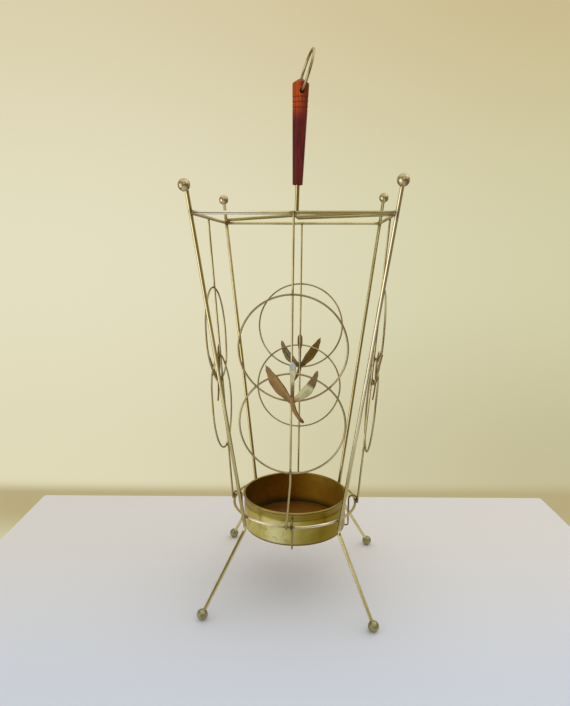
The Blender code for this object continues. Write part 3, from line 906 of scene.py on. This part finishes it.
def mark_pan(mesh):
    """Numbers for the pan's materials: height, rolled edge, inside floor, painted shade in the inside corner.
    """

    def edge(place):
        on_bead = place.xy.length > PAN_RIM_RADIUS - PAN_BEAD - 0.001
        return float(place.z > PAN_HEIGHT - 0.0012 and on_bead)

    def floor(place):
        return clamp((PAN_RADIUS - 0.0035 - place.xy.length) / 0.002) if place.z < 0.006 else 0.0

    # Painted shade: how deep in the inside corner the vertex lies.
    def corner(place):
        low = clamp(1 - abs(place.z - PAN_WALL) / 0.012)
        far = clamp((place.xy.length - PAN_RADIUS + 0.012) / 0.008)
        return (low * far) ** 1.4

    mark(mesh, "height", lambda place: place.z / PAN_HEIGHT)
    mark(mesh, "edge", edge)
    mark(mesh, "floor", floor)
    mark(mesh, "corner", corner)


def dent_pan(mesh):
    """Slow swells of the wall and the floor, none at the rim."""
    for vertex in mesh.vertices:
        x, y, height = vertex.co
        radius = vertex.co.xy.length
        if radius > 0.05 and height < PAN_HEIGHT - 0.002:
            swell = noise.noise(Vector((x * 28, y * 28, height * 22)))
            push = 1 + 0.00016 * swell * min(1.0, height / 0.006) / radius
            vertex.co.xy = (x * push, y * push)
        elif radius < 0.07 and height < 0.002:
            swell = noise.noise(Vector((x * 30, y * 30, 4.0)))
            vertex.co.z += 0.00012 * swell * min(1.0, radius / 0.02)


def build_pan(outside_material, inside_material):
    outside, inside = pan_profile()
    steps = 168
    mesh = turned_mesh("pan", outside + inside, steps)
    mark_pan(mesh)
    dent_pan(mesh)
    mesh.transform(Matrix.Translation((0, 0, PAN_FLOOR_Z)))
    pan = finish_piece("pan", mesh, [outside_material, inside_material], "pan", ["drip_pan"])
    first_inside = (len(outside) - 2) * steps
    for polygon in pan.data.polygons:
        inward = polygon.normal.dot(Vector((*polygon.center.xy, 0)).normalized()) < -0.3
        on_floor = polygon.normal.z > 0.5 and polygon.center.z < PAN_FLOOR_Z + 0.01
        if polygon.index > first_inside and (inward or on_floor):
            polygon.material_index = 1


def build_cradle(name, height, turn, shift, wire):
    """A wire that runs under the pan and hooks over the hoop at both ends."""
    tail = HOOP_RADIUS + HOOP_R + CRADLE_R + GAP
    crest_radius = (tail - CRADLE_LEG) / 2
    crest = ((tail + CRADLE_LEG) / 2, HOOP_Z + 0.0012)
    side = [(0.012 * step, height) for step in range(1, 7)]
    side += arc((CRADLE_LEG - CRADLE_BEND, height + CRADLE_BEND), CRADLE_BEND, -pi / 2, 0, 8)
    side += [(CRADLE_LEG, height + 0.008 + 0.006 * step) for step in range(5)]
    side += arc(crest, crest_radius, pi, 0, 16)
    side += [(tail, HOOP_Z - CRADLE_TAIL / 2), (tail, HOOP_Z - CRADLE_TAIL)]
    route = [Vector((shift, -out, up)) for out, up in reversed(side)]
    route.append(Vector((shift, 0, height)))
    route += [Vector((shift, out, up)) for out, up in side]
    spin = Matrix.Rotation(radians(turn), 3, "Z")
    route = [spin @ point for point in route]
    for sign in (-1, 1):
        out = spin @ Vector((0, sign, 0))
        side_way = spin @ Vector((shift, 0, 0))
        centre = side_way + out * (HOOP_RADIUS + 0.0016) + UP * (HOOP_Z + 0.0004)
        add_bead("hooks", centre, UP, out, (0.0027, 0.0020, 0.0022), 0.006)
    add_tube("cradle_rod_" + name, route, CRADLE_R, wire, "wire_brass", ["cradle_wire_" + name], sides=14)


def crossing_angle():
    return acos((UPPER_RING_Z - LOWER_RING_Z) / 2 / ORNAMENT_RADIUS)


def ornament_ring(facing, seed):
    """A ring in the XY plane with its top at +Y, bent out at its two crossings with the other."""
    points = []
    for point in circle_points(ORNAMENT_RADIUS, 132):
        from_top = abs(atan2(point.x, point.y * facing))
        near = max(0.0, 1 - abs(from_top - crossing_angle()) / 0.7)
        bend = (RING_R + GAP / 2) * sin(pi / 2 * near) ** 2
        drift = noise.noise_vector(point * 22 + Vector((seed, 0, 0))) * 0.00022
        points.append(point + Vector((0, 0, facing * bend)) + drift)
    return points


def smooth_value(stops, share):
    """The value at this share, eased between the (share, value) stops. Values may be vectors."""
    for (low, first), (high, second) in zip(stops, stops[1:]):
        if share <= high:
            ease = max(0.0, (share - low) / (high - low))
            ease = ease * ease * (3 - 2 * ease)
            return first + (second - first) * ease
    return stops[-1][1]


def leaf_grid(leaf, rows, columns):
    """Points and marks of one sheet leaf, row by row from its root, on its outer and inner sides."""
    start = Vector(leaf["root"])
    end = Vector(leaf["tip"])
    across0 = Vector((end.z - start.z, 0, start.x - end.x)).normalized()
    outward0 = Vector((0, -1, 0))
    grid = {}
    for row in range(rows + 1):
        share = row / rows
        bow = leaf["bow"]
        centre = start.lerp(end, share) + across0 * bow * sin(pi * share)
        centre += outward0 * (leaf["lift"] * share**2 + leaf["curl"] * max(0.0, share - 0.5) ** 2)
        along = (end - start + across0 * bow * pi * cos(pi * share)).normalized()
        turn = Matrix.Rotation(radians(smooth_value(leaf["twist"], share)), 3, along)
        across = turn @ across0
        outward = turn @ outward0
        width = smooth_value(leaf["outline"], share)
        for column in range(columns + 1):
            place = 2 * column / columns - 1
            fold = leaf["crease"] * (abs(place) ** 1.3 - 0.1) * width
            for side in (1, -1):
                thin = leaf["thickness"] / 2 * (1 - 0.7 * abs(place) ** 5)
                point = centre + across * place * width + outward * (fold + side * thin)
                tints = leaf["outer"] if side > 0 else leaf["inner"]
                rib = max(0.0, 1 - abs(place) * 5) if share > 0.08 else 0.0
                grid[row, column, side] = (point, abs(place) ** 3, rib, smooth_value(tints, share))
    return grid


def add_leaf(bm, chart, marks, leaf):
    rows, columns = 34, 8
    length = (Vector(leaf["tip"]) - Vector(leaf["root"])).length
    corners = {}
    for key, (point, edge, rib, tint) in leaf_grid(leaf, rows, columns).items():
        corners[key] = bm.verts.new(point)
        marks.append((edge, rib, tint))

    def quad(keys):
        face = bm.faces.new([corners[key] for key in keys])
        for loop, (row, column, side) in zip(face.loops, keys):
            loop[chart].uv = (row / rows * length, (column / columns - 0.5) * 0.012)

    for row in range(rows):
        for column in range(columns):
            sheet = [(row, column), (row, column + 1), (row + 1, column + 1), (row + 1, column)]
            quad([(*spot, 1) for spot in sheet])
            quad([(*spot, -1) for spot in reversed(sheet)])
        quad([(row, 0, 1), (row + 1, 0, 1), (row + 1, 0, -1), (row, 0, -1)])
        quad([(row, columns, -1), (row + 1, columns, -1), (row + 1, columns, 1), (row, columns, 1)])
    for column in range(columns):
        quad([(0, column, 1), (0, column, -1), (0, column + 1, -1), (0, column + 1, 1)])
        quad([(rows, column + 1, 1), (rows, column + 1, -1), (rows, column, -1), (rows, column, 1)])


def add_spray(face, holder, material):
    """Three leaves and their stem in one piece."""
    bm = bmesh.new()
    chart = bm.loops.layers.uv.new(WIRE_MAP)
    marks = []
    for leaf in LEAVES:
        add_leaf(bm, chart, marks, leaf)
    mesh = mesh_from(bm, "spray_" + face)
    set_numbers(mesh, "edge", [edge for edge, _, _ in marks])
    set_numbers(mesh, "rib", [rib for _, rib, _ in marks])
    colours = mesh.attributes.new("tint", "FLOAT_COLOR", "POINT")
    colours.data.foreach_set("color", [part for _, _, tint in marks for part in (*tint, 1.0)])
    mesh.transform(holder)
    finish_piece("spray_" + face, mesh, [material], "stand", ["leaf_spray_" + face])


def build_face(face, wire, loop, leaf):
    degrees, wire_places, (upper, lower, spray) = FACES[face]
    holder = Matrix.Rotation(radians(degrees), 4, "Z")
    first, second = rail_line(face)
    rail_reach = ((first + second) / 2).xy.length
    top = Vector((0, -rail_reach - RAIL_R - CENTRE_R - GAP, RAIL_Z))
    foot = Vector((0, -HOOP_RADIUS - HOOP_R - CENTRE_R - GAP, HOOP_Z))
    rise = (top - foot).normalized()
    out = Vector((0, -rise.z, rise.y))
    knee = foot.lerp(top, 0.16)
    ends = [top + rise * 0.0014, knee, foot - rise * 0.0018]
    for place, sideways in zip(ends, wire_places):
        place.x = sideways

    def wire_x(height):
        if height > knee.z:
            return ends[1].x + (ends[0].x - ends[1].x) * (height - knee.z) / (ends[0].z - knee.z)
        return ends[2].x + (ends[1].x - ends[2].x) * (height - ends[2].z) / (knee.z - ends[2].z)

    def face_point(height, clear, sideways):
        place = foot.lerp(top, (height - foot.z) / (top.z - foot.z)) + out * clear
        place.x = sideways
        return place

    route = wobble(along_line(ends[0], ends[1], 48), 0.0002, 80 + degrees)[:-1]
    if face == "front":
        bend = rounded(ends[0], ends[1], ends[2], 0.05, 10)
        route = wobble(along_line(ends[0], bend[0], 44), 0.0002, 80.0)[:-1] + bend
        route += along_line(bend[-1], ends[2], 10)[1:]
    else:
        route += along_line(ends[1], ends[2], 12)
    route = [holder @ point for point in route]
    group = "face_" + face
    turn3 = holder.to_3x3()
    side_axis = turn3 @ Vector((1, 0, 0))
    world_out = turn3 @ out
    for height, clear, sideways in (
        (RAIL_Z - 0.0002, -CENTRE_R, ends[0].x),
        (HOOP_Z, -CENTRE_R, wire_x(HOOP_Z)),
    ):
        centre = holder @ face_point(height, clear, sideways)
        add_bead(group, centre, side_axis, UP, (0.0022, 0.0021, 0.0013), 0.006)
    clear = CENTRE_R + RING_R + GAP
    for height in (UPPER_RING_Z + ORNAMENT_RADIUS, UPPER_RING_Z - ORNAMENT_RADIUS,
                   LOWER_RING_Z + ORNAMENT_RADIUS, LOWER_RING_Z - ORNAMENT_RADIUS):
        centre = holder @ face_point(height, CENTRE_R + GAP / 2, wire_x(height))
        add_bead(group, centre, side_axis, UP, (0.0018, 0.0016, 0.0010), 0.0045)
    middle = (UPPER_RING_Z + LOWER_RING_Z) / 2
    reach = ORNAMENT_RADIUS * sin(crossing_angle())
    for sign in (-1, 1):
        centre = holder @ face_point(middle, clear, (upper + lower) / 2 + sign * reach)
        add_bead(group, centre, side_axis, UP, (0.0012, 0.0012, 0.0011), 0.0035)
    centre = holder @ face_point(SPRAY_Z, CENTRE_R + RING_R, wire_x(SPRAY_Z))
    add_bead(group, centre, UP, side_axis, (0.0045, 0.0019, 0.0018), 0.006)
    nodes = ["centre_wire_" + face]
    upright = add_tube("face_wire_" + face, route, CENTRE_R, wire, "wire_brass", nodes, sides=14)
    darken_low(upright, 0.60)

    slope = atan2(-rise.y, rise.z)
    tilt = Matrix.Rotation(pi / 2 + slope, 4, "X")
    for seed, (label, height, place, facing) in enumerate(
        (("upper", UPPER_RING_Z, upper, -1), ("lower", LOWER_RING_Z, lower, 1))
    ):
        plane = holder @ Matrix.Translation(face_point(height, clear, place)) @ tilt
        bent = [plane @ point for point in ornament_ring(facing, degrees + seed * 5.0)]
        facing_out = (plane.to_3x3() @ UP).normalized()
        add_tube(
            label + "_loop_" + face, bent, RING_R, loop, "wire_brass", [label + "_ring_" + face],
            sides=12, closed=True, facing=facing_out,
        )
    clear += RING_R + SPRAY_STEM / 2 + 2 * GAP
    plane = holder @ Matrix.Translation(face_point(SPRAY_Z, clear, spray)) @ Matrix.Rotation(slope, 4, "X")
    add_spray(face, plane, leaf)


# Floor, light and camera


def build_stage():
    material, tree = new_material("pale_floor")
    where = place_of(tree)
    # Painted light: the floor turns cooler and bluer towards the front, warmer towards the back.
    depth = span(axis_of(tree, "Y"), 0.15, 0.65)
    pale = blend(depth, (0.715, 0.76, 0.85), (0.80, 0.76, 0.705))
    colour = blend(times(noise_of(where, 3.0, 3.0, 0.5), 0.12), pale, (0.60, 0.60, 0.60))
    weave = bumps(noise_of(where, 900.0, 2.0, 0.6), 0.15, 0.0003)
    bm = bmesh.new()
    bmesh.ops.create_cube(bm, size=1.0)
    bmesh.ops.scale(bm, vec=FLOOR_SIZE, verts=bm.verts[:])
    bmesh.ops.bevel(bm, geom=bm.edges[:], offset=0.008, segments=4, affect="EDGES", profile=0.5)
    mesh = mesh_from(bm, "floor")
    mesh.shade_smooth()
    mesh.set_sharp_from_angle(angle=radians(30))
    mesh.materials.append(finish_look(material, colour, 0.9, 0.0, weave, **{"Specular IOR Level": 0.2}))
    floor = add_object("floor", mesh)
    floor.location = (*FLOOR_PLACE, -FLOOR_SIZE[2] / 2)
    floor.rotation_euler = (0, 0, FLOOR_TURN)


def add_lamp(name, place, size, energy, colour):
    lamp = bpy.data.lights.new(name, "AREA")
    lamp.shape = "RECTANGLE"
    lamp.size, lamp.size_y = size
    lamp.energy = energy
    lamp.color = colour
    holder = add_object(name, lamp)
    holder.location = place
    aim = Vector((0.0, 0.0, 0.35)) - Vector(place)
    holder.rotation_euler = aim.to_track_quat("-Z", "Y").to_euler()


def reach_along(toward, way):
    """How far a direction reaches along a way, from -1 to 1."""
    dot = add_node(tree_of(toward), "VectorMath")
    dot.operation = "DOT_PRODUCT"
    put(dot.inputs[0], toward)
    put(dot.inputs[1], way)
    return dot.outputs["Value"]


def glow(toward, azimuth, elevation, inner, outer):
    """1 within inner degrees of a direction, 0 beyond outer degrees."""
    turn, rise = radians(azimuth), radians(elevation)
    centre = (cos(rise) * cos(turn), cos(rise) * sin(turn), sin(rise))
    return span(reach_along(toward, centre), cos(radians(outer)), cos(radians(inner)))


def build_world():
    """A pale room. What the camera sees is a plain wall with painted light and shade: lighter on the left,
    darker towards the right and the top, with a painted shadow along its foot. Metal reflects a window on
    each side and a dim room.
    """
    world = bpy.data.worlds.new("room")
    bpy.context.scene.world = world
    world.use_nodes = True
    tree = world.node_tree
    toward = add_node(tree, "TexCoord").outputs["Generated"]
    east, north, up = add_node(tree, "SeparateXYZ", Vector=toward).outputs
    # Painted light and shade on the wall: lighter on the left, darker towards the right and the top.
    across = span(east, -0.45, 0.5)
    plain = blend(across, (0.78, 0.735, 0.535), (0.647, 0.619, 0.388))
    high = blend(across, (0.60, 0.485, 0.25), (0.51, 0.32, 0.10))
    low = blend(across, (0.745, 0.694, 0.479), (0.54, 0.497, 0.299))
    plain = layer(plain, high, up, 0.0, 0.5, 0.55)
    plain = layer(plain, low, up, -0.04, -0.35)
    # Painted shadow: a darker band along the foot of the wall.
    foot = reach_along(toward, WALL_FOOT)
    shade = maths("POWER", span(foot, 0.003, 0.036, 1.0, 0.0), 2.8)
    shade = times(times(shade, span(foot, -0.10, -0.02)), span(north, 0.62, 0.80))
    plain = blend(shade, plain, (0.48, 0.405, 0.21))
    room = blend(span(north, -0.4, 0.6), (0.15, 0.12, 0.07), (0.46, 0.40, 0.22))
    room = layer(room, (1.00, 0.99, 0.95), up, 0.45, 0.95)
    room = layer(room, (0.20, 0.18, 0.14), up, -0.02, -0.12)
    room = blend(glow(toward, 212.0, -12.0, 10.0, 40.0), room, (1.80, 1.74, 1.68))
    room = blend(glow(toward, 338.0, 30.0, 5.0, 18.0), room, (1.10, 1.05, 0.95))
    even = blend(span(up, 0.0, 0.8), (0.80, 0.77, 0.70), (0.78, 0.79, 0.80))
    path = add_node(tree, "LightPath").outputs
    room = blend(path["Is Diffuse Ray"], room, even)
    put(tree.nodes["Background"].inputs["Color"], blend(path["Is Camera Ray"], room, plain))


def build_light():
    build_world()
    add_lamp("window_right", (1.15, 0.55, 1.75), (1.3, 1.3), 3.2, (1.0, 0.97, 0.93))
    add_lamp("front_soft", (0.35, -2.3, 1.5), (1.7, 1.0), 5.2, (0.84, 0.92, 1.0))


def build_camera():
    data = bpy.data.cameras.new("camera")
    data.lens = CAMERA_LENS
    data.sensor_width = 36.0
    data.clip_start = 0.01
    camera = add_object("camera", data)
    turn = Matrix.Rotation(CAMERA_YAW, 4, "Z") @ Matrix.Rotation(pi / 2 + CAMERA_PITCH, 4, "X")
    turn @= Matrix.Rotation(CAMERA_ROLL, 4, "Z")
    camera.matrix_world = Matrix.Translation(CAMERA_PLACE) @ turn
    bpy.context.scene.camera = camera


# Everything together


def build():
    rod = rod_material("rod_brass", (0.76, 0.66, 0.33), (0.64, 0.52, 0.22), (0.22, 0.15, 0.06))
    wire = rod_material("wire_brass", (0.70, 0.60, 0.31), (0.52, 0.42, 0.19), (0.18, 0.12, 0.05), patch=34.0)
    loop = rod_material(
        "loop_brass", (0.50, 0.41, 0.20), (0.34, 0.26, 0.11), (0.14, 0.09, 0.04), (0.26, 0.44)
    )
    carry = rod_material(
        "ring_brass", (0.58, 0.48, 0.24), (0.42, 0.33, 0.14), (0.18, 0.12, 0.05), (0.24, 0.40)
    )
    hook = rod_material("hook_brass", (0.34, 0.27, 0.14), (0.15, 0.12, 0.07), (0.04, 0.03, 0.02), (0.25, 0.5))
    finial = ball_material(
        "finial_brass", (0.68, 0.56, 0.33), (0.47, 0.36, 0.19), (0.12, 0.08, 0.035), (0.26, 0.42)
    )
    foot = ball_material(
        "foot_brass", (0.42, 0.39, 0.20), (0.26, 0.24, 0.11), (0.07, 0.055, 0.03), (0.38, 0.55)
    )
    leaf = leaf_material()

    build_hoop(wire)
    for name, height, turn, shift in (
        ("upper", PAN_FLOOR_Z - CRADLE_R - GAP, -0.7, 0.0024),
        ("lower", PAN_FLOOR_Z - 3 * CRADLE_R - 2 * GAP, 90.0, 0.0045),
    ):
        build_cradle(name, height, turn, shift, hook)
    for face in FACES:
        build_face(face, wire, loop, leaf)
    build_top_frame(rod)
    build_handle(rod, carry, wood_material())
    build_posts(rod, finial, foot)
    build_pan(pan_outside_material(), pan_inside_material())
    build_beads(braze_material(), hook)
    mark_welds()
    build_stage()
    build_light()
    build_camera()
    bpy.context.scene.view_settings.view_transform = "Standard"


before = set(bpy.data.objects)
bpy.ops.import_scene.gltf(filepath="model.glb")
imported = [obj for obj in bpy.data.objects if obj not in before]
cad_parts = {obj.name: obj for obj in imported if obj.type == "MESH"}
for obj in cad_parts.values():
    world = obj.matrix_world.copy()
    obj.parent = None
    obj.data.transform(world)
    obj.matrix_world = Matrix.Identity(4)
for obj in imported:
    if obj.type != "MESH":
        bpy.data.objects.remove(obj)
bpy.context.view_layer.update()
build()
bpy.context.view_layer.update()
